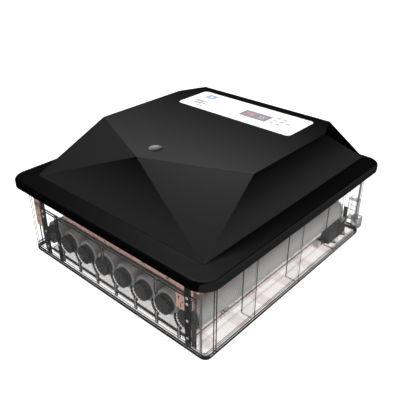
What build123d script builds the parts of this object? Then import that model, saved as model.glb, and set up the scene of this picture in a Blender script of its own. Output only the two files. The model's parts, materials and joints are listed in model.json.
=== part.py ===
from build123d import *
import math
import os

# Roller-type egg incubator: a clear tub with eight turning rollers under a faceted lift-off lid.
# Millimetres. Origin: middle of the footprint on the surface it stands on. +Z up, front towards -Y.

# ---- driving dimensions -------------------------------------------------------------------
TUB_HALF_X = 233.0
TUB_HALF_Y = 249.0
TUB_TOP = 160.0
TUB_BOTTOM = 1.5
WALL = 3.0
TUB_CORNER = 12.0
LIP_OUT = 8.0

RIM_HALF_X = 250.0
RIM_HALF_Y = 270.0
RIM_BOTTOM = 152.5
RIM_TOP = 168.5
RIM_CORNER = 32.0
LID_SKIN = 3.0

DECK_TOP = 250.5
DECK_HALF_X = 185.0
DECK_APEX_Y = -163.0
DECK_FRONT_Y = -82.0
DECK_SIDE_BACK_Y = 134.0
DECK_BACK_Y = 194.0
DECK_BACK_HALF_X = 160.0
DOME_HALF_X = 211.0
DOME_FRONT_Y = -231.0
DOME_BACK_Y = 258.0

ROLLER_COUNT = 8
ROLLER_PITCH = 52.0
BANK_SHIFT = -4.0
ROLLER_Z = 47.0
TUBE_RADIUS = 24.0
TUBE_WALL = 2.0
TUBE_HALF = 226.0
COLLAR_DEPTH = 4.0
END_DEPTH = 12.0
GEAR_WIDTH = 6.0
DRUM_RADIUS = 18.3
SPIGOT_RADIUS = 17.0
SPIGOT_DEPTH = 6.0
PIN_RADIUS = 3.0
RUNNING_CLEARANCE = 0.05

GEAR_TEETH = 20
PINION_TEETH = 16
TOOTH_PITCH = ROLLER_PITCH / 10
PRESSURE_ANGLE = math.radians(20)
ADDENDUM = 0.75 * TOOTH_PITCH / math.pi
DEDENDUM = 0.95 * TOOTH_PITCH / math.pi
TOOTH_THINNING = 0.3
GEAR_RADIUS = GEAR_TEETH * TOOTH_PITCH / (2 * math.pi)
PINION_RADIUS = PINION_TEETH * TOOTH_PITCH / (2 * math.pi)
MESH_ANGLE = math.radians(-54)
RACK_TRAVEL = 17.0

FRAME_Y = 240.25
FRAME_THICK = 2.5
FRAME_HALF_X = 204.5
FRAME_TOP = 107.0
FRAME_BAR = 7.0
FRAME_EDGE = 8.5
RAIL_TOP = 7.5

PANEL_LEFT_X = -137.0
PANEL_RIGHT_X = 142.0
PANEL_FRONT_Y = 79.0
PANEL_BACK_Y = 170.0
PANEL_TOP = 250.8
PANEL_THICK = 1.2
BUTTON_RADIUS = 4.2

VENT_Y = -118.0
VENT_RADIUS = 9.0
FAN_Z = 141.0
FAN_RADIUS = 46.0
LINER_PLATE = 150.0

# ---- values that follow -------------------------------------------------------------------
FLOOR = TUB_BOTTOM + WALL
TUB_IN_X = TUB_HALF_X - WALL
TUB_IN_Y = TUB_HALF_Y - WALL
ROLLER_X = [BANK_SHIFT + ROLLER_PITCH * (i - (ROLLER_COUNT - 1) / 2) for i in range(ROLLER_COUNT)]
END_OUT = TUBE_HALF + END_DEPTH
RACK_PITCH_Z = ROLLER_Z - GEAR_RADIUS
MESH_DISTANCE = GEAR_RADIUS + PINION_RADIUS
PINION_X = ROLLER_X[-1] + MESH_DISTANCE * math.cos(MESH_ANGLE)
PINION_Z = ROLLER_Z + MESH_DISTANCE * math.sin(MESH_ANGLE)
FLANGE_TOP = RIM_TOP - LID_SKIN


# ---- shape helpers ------------------------------------------------------------------------
def block(x0, x1, y0, y1, z0, z1):
    """A box between opposite corners."""
    centre = Pos((x0 + x1) / 2, (y0 + y1) / 2, (z0 + z1) / 2)
    return centre * Box(x1 - x0, y1 - y0, z1 - z0)


def slab(half_x, half_y, radius, z0, z1):
    """An upright prism on a rounded rectangle, centred on the Z axis."""
    outline = RectangleRounded(2 * half_x, 2 * half_y, radius)
    return extrude(Pos(0, 0, z0) * outline, z1 - z0)


def post(x, y, radius, z0, z1):
    """A round bar along Z."""
    return Pos(x, y, (z0 + z1) / 2) * Cylinder(radius, z1 - z0)


def rod(x, z, radius, y0, y1):
    """A round bar along Y."""
    return Pos(x, (y0 + y1) / 2, z) * Rot(90, 0, 0) * Cylinder(radius, y1 - y0)


def prism_y(points, y0, y1):
    """Extrude an outline given in X and Z along Y."""
    face = make_face(Polyline([(x, y0, z) for x, z in points], close=True))
    return extrude(face, y1 - y0, dir=(0, 1, 0))


def save(shape, node):
    """Write one sub-part."""
    export_step(shape, f"parts/{node}.step")


def polyhedron(faces):
    """A solid bounded by flat faces, each given by its corners."""
    skins = [Face(Wire.make_polygon([Vector(*p) for p in corners], close=True)) for corners in faces]
    return Solid(Shell(skins))


# ---- gears --------------------------------------------------------------------------------
def involute(angle):
    return math.tan(angle) - angle


def gear_profile(teeth, x, z, phase):
    """Outline of a spur gear about (x, z); one tooth is centred on the angle phase."""
    pitch_radius = teeth * TOOTH_PITCH / (2 * math.pi)
    base_radius = pitch_radius * math.cos(PRESSURE_ANGLE)
    root = pitch_radius - DEDENDUM
    tip = pitch_radius + ADDENDUM
    half_thickness = (TOOTH_PITCH / 2 - TOOTH_THINNING) / (2 * pitch_radius)

    def half_angle(radius):
        lean = math.acos(min(1, base_radius / radius))
        return half_thickness + involute(PRESSURE_ANGLE) - involute(lean)

    radii = [root, max(root, base_radius), pitch_radius, tip]
    points = []
    for tooth in range(teeth):
        middle = phase + 2 * math.pi * tooth / teeth
        flanks = [(r, middle - half_angle(r)) for r in radii]
        flanks += [(r, middle + half_angle(r)) for r in reversed(radii)]
        for radius, angle in flanks:
            point = (x + radius * math.cos(angle), z + radius * math.sin(angle))
            if not points or math.dist(point, points[-1]) > 0.01:
                points.append(point)
    return points


def rack_profile(x0, x1, z_bottom):
    """Outline of a rack with teeth up; spaces are centred under the rollers."""
    lean = math.tan(PRESSURE_ANGLE)
    half = (TOOTH_PITCH / 2 - TOOTH_THINNING) / 2
    first = ROLLER_X[0] + TOOTH_PITCH / 2
    count = int((x1 - first) // TOOTH_PITCH)
    start = -int((first - x0) // TOOTH_PITCH)
    root = RACK_PITCH_Z - DEDENDUM
    tip = RACK_PITCH_Z + ADDENDUM
    points = [(x0, z_bottom), (x0, root)]
    for tooth in range(start, count + 1):
        middle = first + tooth * TOOTH_PITCH
        if middle - TOOTH_PITCH / 2 < x0 or middle + TOOTH_PITCH / 2 > x1:
            continue
        wide = half + DEDENDUM * lean
        narrow = half - ADDENDUM * lean
        points += [(middle - wide, root), (middle - narrow, tip)]
        points += [(middle + narrow, tip), (middle + wide, root)]
    points += [(x1, root), (x1, z_bottom)]
    return points


# ---- base ---------------------------------------------------------------------------------
RIB_STATIONS = (-125.0, 10.0, 150.0)
RIB_TOP = 150.0
FILLER_X = 221.0
BOSS_X = 218.0
BOSS_STATIONS = (168.0, 208.0)


def base_tub():
    outer = slab(TUB_HALF_X, TUB_HALF_Y, TUB_CORNER, TUB_BOTTOM, TUB_TOP)
    outer = fillet(outer.edges().group_by(Axis.Z)[0], 1.2)
    lip = slab(TUB_HALF_X + LIP_OUT, TUB_HALF_Y + LIP_OUT, TUB_CORNER + LIP_OUT, TUB_TOP - WALL, TUB_TOP)
    hollow = slab(TUB_IN_X, TUB_IN_Y, TUB_CORNER - WALL, FLOOR, TUB_TOP + 1)
    tub = outer + lip - hollow
    left_end = ROLLER_X[0] - TUBE_RADIUS - 1
    right_end = max(ROLLER_X[-1] + TUBE_RADIUS, FRAME_HALF_X) + 1
    for y in RIB_STATIONS:
        tub += block(right_end, TUB_IN_X, y - 1, y + 1, FLOOR, RIB_TOP)
        tub += block(-TUB_IN_X, left_end, y - 1, y + 1, FLOOR, RIB_TOP)
    for y in BOSS_STATIONS:
        tub += post(BOSS_X, y, 4, FLOOR, RAIL_TOP)
        tub -= post(BOSS_X, y, 1.5, FLOOR + 0.5, RAIL_TOP)
    for x, y in foot_places():
        tub -= post(x, y, 9, TUB_BOTTOM, TUB_BOTTOM + 1)
    tub -= block(FILLER_X - 6, FILLER_X + 6, TUB_IN_Y - 1, TUB_HALF_Y + 1, 11, 20)
    return tub


def foot_places():
    return [(sx * 205, sy * 220) for sx in (-1, 1) for sy in (-1, 1)]


def foot_pads():
    return Compound([post(x, y, 9, 0, TUB_BOTTOM + 1) for x, y in foot_places()])


def water_filler():
    """An open-topped hopper on the back wall that tops up the tray from outside."""
    shell = block(FILLER_X - 10, FILLER_X + 10, TUB_HALF_Y, TUB_HALF_Y + 17, 8, 31)
    shell = fillet(shell.edges().filter_by(Axis.Z).group_by(Axis.Y)[-1], 4)
    well = block(FILLER_X - 8, FILLER_X + 8, TUB_HALF_Y + 2, TUB_HALF_Y + 15, 10, 32)
    passage = block(FILLER_X - 6, FILLER_X + 6, TUB_HALF_Y - 1, TUB_HALF_Y + 3, 11, 20)
    return shell - well - passage


TRAY_HALF_X = 191.0
TRAY_FRONT_Y = -236.0
TRAY_BACK_Y = 224.0
TRAY_TOP = 14.0


def water_tray():
    """Two shallow troughs side by side, with a finger tab on the right-hand wall."""
    tray = block(-TRAY_HALF_X, TRAY_HALF_X, TRAY_FRONT_Y, TRAY_BACK_Y, FLOOR, TRAY_TOP)
    tray = fillet(tray.edges().filter_by(Axis.Z), 6)
    inner = TRAY_HALF_X - 2
    for x0, x1 in ((-inner, -1), (1, inner)):
        trough = block(x0, x1, TRAY_FRONT_Y + 2, TRAY_BACK_Y - 2, FLOOR + 2, TRAY_TOP + 1)
        tray -= fillet(trough.edges().filter_by(Axis.Z), 4)
    return tray + block(TRAY_HALF_X - 13, TRAY_HALF_X - 1, -150, -138, TRAY_TOP - 1.5, TRAY_TOP)


FINGER_STATIONS = (-18.0, 117.0)
FINGER_LOW = 72.0
FINGER_HALF = 3.0
ARM_OFFSET = 11.0
ARM_HALF = 3.0
HOOK_RADIUS = 18.0
LINK_HALF = 2.5
BOSS_RADIUS = 6.0


def roller_arm(x, y0, y1):
    """A leg from the floor that hooks round the left of a roller's wheel and carries its bearing boss."""
    hook = rod(x, ROLLER_Z, HOOK_RADIUS + ARM_HALF, y0, y1) - rod(x, ROLLER_Z, HOOK_RADIUS, y0, y1)
    hook = hook & block(x - 30, x - 5, y0, y1, ROLLER_Z - 30, ROLLER_Z + 6)
    leg_x = x - ARM_OFFSET
    leg = block(leg_x - ARM_HALF, leg_x + ARM_HALF, y0, y1, FLOOR + ARM_HALF, ROLLER_Z - 15)
    foot = rod(leg_x, FLOOR + ARM_HALF, ARM_HALF, y0, y1)
    link = block(x - HOOK_RADIUS - 1, x, y0, y1, ROLLER_Z - LINK_HALF, ROLLER_Z + LINK_HALF)
    return hook + leg + foot + link + rod(x, ROLLER_Z, BOSS_RADIUS, y0, y1)


def frame_plate(y0, y1):
    """A clear upright plate: a window above, and one arm with a bearing boss for each roller."""
    plate = block(-FRAME_HALF_X, FRAME_HALF_X, y0, y1, FLOOR, FRAME_TOP)
    window_x = FRAME_HALF_X - FRAME_EDGE
    upper = block(-window_x, window_x, y0 - 1, y1 + 1, RAIL_TOP + 11, FRAME_TOP - FRAME_BAR)
    upper = fillet(upper.edges().filter_by(Axis.Y), 7)
    lower = block(-window_x, window_x, y0 - 1, y1 + 1, FLOOR - 1, RAIL_TOP + 8.5)
    plate = plate - upper - lower
    for x in ROLLER_X:
        plate += roller_arm(x, y0, y1)
    for x in ROLLER_X:
        plate -= rod(x, ROLLER_Z, PIN_RADIUS + RUNNING_CLEARANCE, y0 - 1, y1 + 1)
    return plate


def roller_frame_front():
    """The front plate also has fingers under its top bar and blind holes for the post screws."""
    y0 = -FRAME_Y - FRAME_THICK / 2
    y1 = -FRAME_Y + FRAME_THICK / 2
    plate = frame_plate(y0, y1)
    for x in FINGER_STATIONS:
        plate += block(x - FINGER_HALF, x + FINGER_HALF, y0, y1, FINGER_LOW, FRAME_TOP - 1)
        plate += rod(x, FINGER_LOW, FINGER_HALF, y0, y1)
    for x, z in bar_screw_places():
        plate -= rod(x, z, SCREW_BITE_RADIUS + RUNNING_CLEARANCE, y0 - 1, y0 + SCREW_BITE + 0.1)
    return plate


RACK_BOTTOM = 22.6
RACK_FRONT_Y = 232.5
RACK_BACK_Y = 237.5
LEDGE_THICK = 2.5
LEDGE_LEFT_X = -226.0
LEDGE_RIGHT_X = 178.0


def roller_frame_rear():
    """The front plate's twin, with a ledge and lip that guide the rack."""
    y0 = FRAME_Y - FRAME_THICK / 2
    plate = frame_plate(y0, FRAME_Y + FRAME_THICK / 2)
    low = RACK_BOTTOM - 0.1 - LEDGE_THICK
    ledge = block(LEDGE_LEFT_X, LEDGE_RIGHT_X, RACK_FRONT_Y - 2, y0, low, low + LEDGE_THICK)
    lip = block(LEDGE_LEFT_X, LEDGE_RIGHT_X, RACK_FRONT_Y - 2, RACK_FRONT_Y - 0.1, low, low + 6)
    return plate + ledge + lip


def frame_rail(side):
    """A low tie rail along the floor between the two frames."""
    reach = FRAME_Y - FRAME_THICK / 2
    inner = side * (FRAME_HALF_X - 3.5)
    outer = side * FRAME_HALF_X
    return block(min(inner, outer), max(inner, outer), -reach, reach, FLOOR, RAIL_TOP)


POST_DEPTH = 3.0
SCREW_BITE_RADIUS = 1.2
SCREW_BITE = 1.1
SCREW_HEAD_RADIUS = 2.4
# each post: middle X, half width, top, and the heights of its screws
POSTS = (
    (-190.0, 5.5, 146.0, (22.0, 58.0, 92.0, 103.5)),
    (-150.0, 4.0, FRAME_TOP, (44.0, 103.5)),
    (190.0, 5.5, 146.0, (22.0, 58.0, 92.0, 103.5)),
)


def bar_screw_places():
    """The screws that bite into the frame's top bar."""
    return [(x, z) for x, half, top, heights in POSTS for z in heights if z > FRAME_TOP - FRAME_BAR]


def front_posts():
    """Dark bars in front of the frame, screwed to its top bar."""
    y1 = -FRAME_Y - FRAME_THICK / 2
    bars = []
    for x, half, top, heights in POSTS:
        bar = block(x - half, x + half, y1 - POST_DEPTH, y1, FLOOR, top)
        for z in heights:
            bar -= rod(x, z, SCREW_BITE_RADIUS + RUNNING_CLEARANCE, y1 - POST_DEPTH - 1, y1 + 1)
        bars.append(bar)
    return Compound(bars)


def post_screws():
    y1 = -FRAME_Y - FRAME_THICK / 2
    screws = []
    for x, half, top, heights in POSTS:
        for z in heights:
            reach = SCREW_BITE if (x, z) in bar_screw_places() else 0
            head = rod(x, z, SCREW_HEAD_RADIUS, y1 - POST_DEPTH - 0.5, y1 - POST_DEPTH)
            screws.append(head + rod(x, z, SCREW_BITE_RADIUS, y1 - POST_DEPTH, y1 + reach))
    return Compound(screws)


GEARBOX_FRONT_Y = 153.0
GEARBOX_BACK_Y = 222.0
GEARBOX_TOP = 25.0
GEARBOX_LEFT_X = 194.5
GEARBOX_RIGHT_X = 213.5


def gearmotor_gearbox():
    """The reduction case with two screw lugs and a nose for the output shaft."""
    shaft_bore = rod(PINION_X, PINION_Z, 2.5 + RUNNING_CLEARANCE, GEARBOX_BACK_Y - 12, GEARBOX_BACK_Y + 1)
    case = block(GEARBOX_LEFT_X, GEARBOX_RIGHT_X, GEARBOX_FRONT_Y, GEARBOX_BACK_Y, RAIL_TOP, GEARBOX_TOP)
    case = fillet(case.edges().filter_by(Axis.Z), 1.5)
    lug_top = RAIL_TOP + 2.5
    for y in BOSS_STATIONS:
        lug = block(GEARBOX_RIGHT_X - 1, BOSS_X, y - 4, y + 4, RAIL_TOP, lug_top)
        lug += post(BOSS_X, y, 4, RAIL_TOP, lug_top)
        case += lug - post(BOSS_X, y, 1.6, RAIL_TOP - 1, lug_top + 1)
    nose = rod(PINION_X, PINION_Z, 5, GEARBOX_BACK_Y - 17, GEARBOX_BACK_Y)
    return case + nose - shaft_bore


def motor_screws():
    screws = []
    for y in BOSS_STATIONS:
        shank = post(BOSS_X, y, 1.4, FLOOR + 1, RAIL_TOP + 2.5)
        screws.append(shank + post(BOSS_X, y, 3, RAIL_TOP + 2.5, RAIL_TOP + 4))
    return Compound(screws)


MOTOR_FRONT_Y = 127.0
MOTOR_CAP_Y = 139.0
MOTOR_LEFT_X = 192.5


def motor_section(y0, y1):
    section = block(MOTOR_LEFT_X, MOTOR_LEFT_X + 12, y0, y1, RAIL_TOP, RAIL_TOP + 10)
    return fillet(section.edges().filter_by(Axis.Y), 1.5)


def motor_can():
    return motor_section(MOTOR_CAP_Y, GEARBOX_FRONT_Y)


def motor_end_cap():
    return motor_section(MOTOR_FRONT_Y, MOTOR_CAP_Y)


def contact_block():
    """The riser in the right rear corner that brings the lid's supply down to the gearmotor."""
    body = fillet(block(208, 228, 228, 242.4, 36, 82).edges().filter_by(Axis.Z).group_by(Axis.Y)[0], 4)
    body += block(208, 219, 242.4, TUB_IN_Y, 36, 82)
    return body + block(209, 219, 236, TUB_IN_Y, 82, 146)


# ---- turner -------------------------------------------------------------------------------
def turner_rack():
    reach = RACK_TRAVEL + 3
    outline = rack_profile(ROLLER_X[0] - reach, ROLLER_X[-1] + reach, RACK_BOTTOM)
    return prism_y(outline, RACK_FRONT_Y, RACK_BACK_Y)


def drive_pinion():
    outline = gear_profile(PINION_TEETH, PINION_X, PINION_Z, MESH_ANGLE + math.pi + math.pi / PINION_TEETH)
    wheel = prism_y(outline, TUBE_HALF + 0.3, RACK_FRONT_Y - 1)
    return wheel + rod(PINION_X, PINION_Z, 2.5, GEARBOX_BACK_Y - 10, TUBE_HALF + 0.3)


def roller_tube(x):
    """A thin-walled tube with an inward collar at each end that grips the wheel's spigot."""
    bore_end = TUBE_HALF - COLLAR_DEPTH
    tube = rod(x, ROLLER_Z, TUBE_RADIUS, -TUBE_HALF, TUBE_HALF)
    tube -= rod(x, ROLLER_Z, TUBE_RADIUS - TUBE_WALL, -bore_end, bore_end)
    return tube - rod(x, ROLLER_Z, SPIGOT_RADIUS + RUNNING_CLEARANCE, -TUBE_HALF - 1, TUBE_HALF + 1)


def roller_ends(x):
    """A toothed wheel with a bearing pin and a spigot for each end of a tube; the front one has a drum."""
    outline = gear_profile(GEAR_TEETH, x, ROLLER_Z, -math.pi / 2)
    pin_end = FRAME_Y + FRAME_THICK / 2 - 0.2
    spigot_end = TUBE_HALF - COLLAR_DEPTH - SPIGOT_DEPTH
    front = prism_y(outline, -END_OUT, -END_OUT + GEAR_WIDTH)
    front += rod(x, ROLLER_Z, DRUM_RADIUS, -END_OUT + GEAR_WIDTH, -TUBE_HALF)
    front += rod(x, ROLLER_Z, SPIGOT_RADIUS, -TUBE_HALF, -spigot_end)
    front += rod(x, ROLLER_Z, PIN_RADIUS, -pin_end, -END_OUT)
    rear = prism_y(outline, TUBE_HALF, END_OUT)
    rear += rod(x, ROLLER_Z, SPIGOT_RADIUS, spigot_end, TUBE_HALF)
    rear += rod(x, ROLLER_Z, PIN_RADIUS, END_OUT, pin_end)
    return Compound([front, rear])


# ---- lid ----------------------------------------------------------------------------------
def dome(inset, base_z, deck_z):
    """The faceted hood: a flat deck, a pointed front facet and plain sloping sides."""
    front_left = (-DOME_HALF_X + inset, DOME_FRONT_Y + inset, base_z)
    front_right = (DOME_HALF_X - inset, DOME_FRONT_Y + inset, base_z)
    back_right = (DOME_HALF_X - inset, DOME_BACK_Y - inset, base_z)
    back_left = (-DOME_HALF_X + inset, DOME_BACK_Y - inset, base_z)
    apex = (0, DECK_APEX_Y + inset, deck_z)
    deck_right = [
        (DECK_HALF_X - inset, DECK_FRONT_Y, deck_z),
        (DECK_HALF_X - inset, DECK_SIDE_BACK_Y, deck_z),
        (DECK_BACK_HALF_X - inset, DECK_BACK_Y - inset, deck_z),
    ]
    deck_left = [(-x, y, z) for x, y, z in deck_right]
    shoulder_r, hip_r, tail_r = deck_right
    shoulder_l, hip_l, tail_l = deck_left
    return polyhedron([
        [front_left, back_left, back_right, front_right],
        [apex, shoulder_r, hip_r, tail_r, tail_l, hip_l, shoulder_l],
        [front_left, front_right, apex],
        [front_right, shoulder_r, apex],
        [front_left, apex, shoulder_l],
        [front_right, back_right, hip_r, shoulder_r],
        [front_left, shoulder_l, hip_l, back_left],
        [back_right, tail_r, hip_r],
        [back_left, hip_l, tail_l],
        [back_right, back_left, tail_l, tail_r],
    ])


def button_places():
    """Two columns of three keys and one more at their right."""
    keys = [(x, y) for x in (80.5, 95.5) for y in (111.5, 125.0, 138.5)]
    return keys + [(109.5, 125.0)]


WINDOW = (3.0, 67.5, 107.0, 138.5)
LED_PLACES = ((-20.0, 97.5), (-11.0, 104.0))
INLET_HALF_X = 30.0
INLET_BACK_Y = 262.0
INLET_TOP = 206.0


def lid_shell():
    rim = slab(RIM_HALF_X, RIM_HALF_Y, RIM_CORNER, RIM_BOTTOM, RIM_TOP)
    rim = fillet(rim.edges().group_by(Axis.Z)[-1], 5)
    hood = dome(0, RIM_TOP - 1, DECK_TOP)
    inlet_box = block(-INLET_HALF_X, INLET_HALF_X, 200, INLET_BACK_Y, RIM_TOP - 1, INLET_TOP)
    inlet_box = fillet(inlet_box.edges().filter_by(Axis.Z).group_by(Axis.Y)[-1], 4)
    outside = rim + hood + inlet_box
    inner_rim = (RIM_HALF_X - LID_SKIN, RIM_HALF_Y - LID_SKIN, RIM_CORNER - LID_SKIN)
    inside = slab(*inner_rim, RIM_BOTTOM - 1, FLANGE_TOP)
    cavity = dome(4, FLANGE_TOP, DECK_TOP - LID_SKIN)
    room = INLET_HALF_X - LID_SKIN
    cavity += block(-room, room, 190, INLET_BACK_Y - LID_SKIN, FLANGE_TOP, INLET_TOP - LID_SKIN)
    shell = outside - inside - cavity
    sleeve = post(0, VENT_Y, VENT_RADIUS + 2, DECK_TOP - 14, DECK_TOP - 1)
    shell += sleeve
    shell -= post(0, VENT_Y, VENT_RADIUS + 0.25, DECK_TOP - 20, DECK_TOP + 1)
    shell -= post(0, VENT_Y, 13, DECK_TOP - 1.2, DECK_TOP + 1)
    shell -= panel_outline(0, PANEL_TOP - PANEL_THICK, DECK_TOP + 1)
    shell -= block(WINDOW[0] + 2, WINDOW[1] - 2, WINDOW[2] + 2, WINDOW[3] - 2, DECK_TOP - 5, DECK_TOP + 1)
    for x, y in button_places():
        shell -= post(x, y, BUTTON_RADIUS + 0.6, DECK_TOP - 5, DECK_TOP + 1)
    for x, y in LED_PLACES:
        shell -= post(x, y, 1.7, DECK_TOP - 5, DECK_TOP + 1)
    shell -= block(-14, 14, INLET_BACK_Y - 5, INLET_BACK_Y + 1, 177, 197)
    return shell


def panel_outline(inset, z0, z1):
    middle_x = (PANEL_LEFT_X + PANEL_RIGHT_X) / 2
    middle_y = (PANEL_FRONT_Y + PANEL_BACK_Y) / 2
    half_x = (PANEL_RIGHT_X - PANEL_LEFT_X) / 2
    half_y = (PANEL_BACK_Y - PANEL_FRONT_Y) / 2
    return Pos(middle_x, middle_y, 0) * slab(half_x - inset, half_y - inset, 9, z0, z1)


def panel_overlay():
    z0 = PANEL_TOP - PANEL_THICK
    sheet = panel_outline(0.1, z0, PANEL_TOP)
    sheet -= block(WINDOW[0], WINDOW[1], WINDOW[2], WINDOW[3], z0 - 1, PANEL_TOP + 1)
    for x, y in button_places():
        sheet -= post(x, y, BUTTON_RADIUS + 0.3, z0 - 1, PANEL_TOP + 1)
    for x, y in LED_PLACES:
        sheet -= post(x, y, 1.7, z0 - 1, PANEL_TOP + 1)
    return sheet


def display_window():
    z0 = PANEL_TOP - PANEL_THICK
    return block(WINDOW[0] + 0.1, WINDOW[1] - 0.1, WINDOW[2] + 0.1, WINDOW[3] - 0.1, z0, PANEL_TOP - 0.2)


BOARD_TOP = 236.0


def display_module():
    return block(WINDOW[0] + 3, WINDOW[1] - 3, WINDOW[2] + 3, WINDOW[3] - 3, BOARD_TOP, 247)


def control_board():
    board = block(-60, 125, 88, 162, BOARD_TOP - 1.6, BOARD_TOP)
    for x in (-55, 120):
        for y in (93, 157):
            board -= post(x, y, 1.6, BOARD_TOP - 3, BOARD_TOP + 1)
    return board


def key_switches():
    """A small square switch under every key."""
    switches = []
    for x, y in button_places():
        body = block(x - 3, x + 3, y - 3, y + 3, BOARD_TOP, BOARD_TOP + 4)
        switches.append(body + post(x, y, 1.5, BOARD_TOP + 4, BOARD_TOP + 5.5))
    return Compound(switches)


def key_button(x, y):
    """A flanged key: the flange is kept under the deck, the crown stands proud of the overlay."""
    stem = post(x, y, 2.0, BOARD_TOP + 6.5, DECK_TOP - LID_SKIN - 1.2)
    flange = post(x, y, BUTTON_RADIUS + 1.6, DECK_TOP - LID_SKIN - 1.4, DECK_TOP - LID_SKIN - 0.2)
    crown = post(x, y, BUTTON_RADIUS, DECK_TOP - LID_SKIN - 0.2, PANEL_TOP + 1.0)
    crown = fillet(crown.edges().group_by(Axis.Z)[-1], 0.5)
    return stem + flange + crown


def indicator_lights():
    lights = []
    for x, y in LED_PLACES:
        lens = post(x, y, 1.5, BOARD_TOP, PANEL_TOP)
        lights.append(fillet(lens.edges().group_by(Axis.Z)[-1], 0.7))
    return Compound(lights)


def power_board():
    board = block(-80, -10, 140, 185, 178, 179.6)
    board += block(-70, -45, 150, 175, 179.6, 199)
    board += post(-28, 160, 7, 179.6, 200)
    return board + block(-40, -20, 172, 182, 179.6, 190)


def power_inlet():
    """A recessed two-pin appliance socket in the back of the hood."""
    body = block(-13.8, 13.8, 238, INLET_BACK_Y - 0.4, 177.2, 196.8)
    body -= block(-9.5, 9.5, 248, INLET_BACK_Y, 182, 192)
    for x in (-4.5, 4.5):
        body += rod(x, 187, 1.2, 247, 259)
    return body


SEAL_TOP = 162.5


def lid_seal():
    outer = slab(TUB_HALF_X + 6, TUB_HALF_Y + 6, TUB_CORNER + 6, TUB_TOP, SEAL_TOP)
    return outer - slab(TUB_HALF_X + 1, TUB_HALF_Y + 1, TUB_CORNER + 1, TUB_TOP - 1, SEAL_TOP + 1)


LINER_HALF_X = 201.0
LINER_HALF_Y = 228.0
LINER_LOW = 135.0
LINER_SKIN = 2.5
LINER_CORNER = 14.0
LINER_SCREW_PLACES = ((0, 260), (0, -260), (242.3, 0), (-242.3, 0))
CURTAIN_Y = -238.0
CURTAIN_LEFT_X = -130.0
CURTAIN_LOW = 101.0
CURTAIN_SLOT_PITCH = 18.0
# left X, right X and lower edge of the duct in each front corner
LEFT_DUCT = (-229.0, -212.0, 56.0)
RIGHT_DUCT = (160.0, 187.0, 67.0)
CURTAIN_RIGHT_X = 214.0
CURTAIN_RIGHT_LOW = 116.0
DUCT_BACK_Y = -227.0


def corner_duct(x0, x1, low):
    """A square duct, open below, that leads warm air down a front corner."""
    outer = block(x0, x1, CURTAIN_Y, DUCT_BACK_Y, low, SEAL_TOP + 1)
    inner = block(x0 + 2, x1 - 2, CURTAIN_Y + 2, DUCT_BACK_Y - 2, low - 1, SEAL_TOP - 1)
    return outer - inner


def liner_front():
    """The front of the liner: a slotted curtain and the two corner ducts."""
    x0 = CURTAIN_LEFT_X
    x1 = RIGHT_DUCT[0] + 1
    y1 = CURTAIN_Y + LINER_SKIN
    slot_low = CURTAIN_LOW + 3.5
    curtain = block(x0, x1, CURTAIN_Y, y1, CURTAIN_LOW, SEAL_TOP + 1)
    for number in range(int((x1 - x0) // CURTAIN_SLOT_PITCH)):
        x = x0 + CURTAIN_SLOT_PITCH * (number + 0.5)
        curtain -= block(x, x + 8, CURTAIN_Y - 1, y1 + 1, slot_low, slot_low + 3)
    curtain += block(x1 - 1, CURTAIN_RIGHT_X, CURTAIN_Y, y1, CURTAIN_RIGHT_LOW, SEAL_TOP + 1)
    return curtain + corner_duct(*LEFT_DUCT) + corner_duct(*RIGHT_DUCT)


def lid_liner():
    """The inner tray of the lid: flange, shallow skirt, ceiling plate, front curtain and ducts."""
    flange = slab(RIM_HALF_X - 5, RIM_HALF_Y - 5, RIM_CORNER - 5, SEAL_TOP, FLANGE_TOP)
    skirt = slab(LINER_HALF_X, LINER_HALF_Y, LINER_CORNER, LINER_LOW, SEAL_TOP + 0.5)
    inner = (LINER_HALF_X - LINER_SKIN, LINER_HALF_Y - LINER_SKIN, LINER_CORNER - LINER_SKIN)
    above = slab(*inner, LINER_PLATE + LINER_SKIN, FLANGE_TOP + 1)
    below = slab(*inner, LINER_LOW - 1, LINER_PLATE)
    liner = flange + skirt - above - below + liner_front()
    liner -= post(0, 0, FAN_RADIUS + 8, LINER_PLATE - 1, LINER_PLATE + 4)
    liner -= post(0, VENT_Y, 10, LINER_PLATE - 1, LINER_PLATE + 4)
    for x, y in LINER_SCREW_PLACES:
        liner -= post(x, y, 1.7, SEAL_TOP - 1, FLANGE_TOP + 1)
    return liner


def liner_screws():
    screws = []
    for x, y in LINER_SCREW_PLACES:
        head = post(x, y, 3, SEAL_TOP - 1.8, SEAL_TOP)
        screws.append(head + post(x, y, 1.5, SEAL_TOP, FLANGE_TOP))
    return Compound(screws)


def fan_guard():
    """A spider frame under the ceiling plate: an outer ring, four spokes and guard rings."""
    outer = FAN_RADIUS + 14
    ring = post(0, 0, outer, 126, LINER_PLATE) - post(0, 0, outer - 2.5, 125, LINER_PLATE + 1)
    guard = ring
    for radius in (18, 31, 44, 56):
        guard += post(0, 0, radius + 1, 126, 128) - post(0, 0, radius - 1, 125, 129)
    for turn in range(4):
        spoke = block(0, outer - 1, -1.5, 1.5, 126, 128)
        guard += Rot(0, 0, 45 + 90 * turn) * spoke
    return guard


def fan_motor():
    """A can motor hung from a bridge across the opening in the ceiling plate."""
    bridge = block(-62, 62, -9, 9, LINER_PLATE + LINER_SKIN, LINER_PLATE + LINER_SKIN + 3)
    can = post(0, 0, 17, LINER_PLATE + LINER_SKIN + 3, 182)
    return bridge + can - post(0, 0, 2.05, LINER_PLATE - 1, 172)


def fan_rotor():
    """A five-blade axial rotor on its shaft."""
    hub = post(0, 0, 13, FAN_Z - 9, FAN_Z + 7)
    shaft = post(0, 0, 2, FAN_Z + 7, 171)
    rotor = hub + shaft
    for turn in range(5):
        blade = Pos(28, 0, FAN_Z) * Rot(32, 0, 0) * Box(34, 22, 1.8)
        rotor += Rot(0, 0, 72 * turn) * blade
    return rotor


HEATER_RADIUS = 51.5


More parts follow.
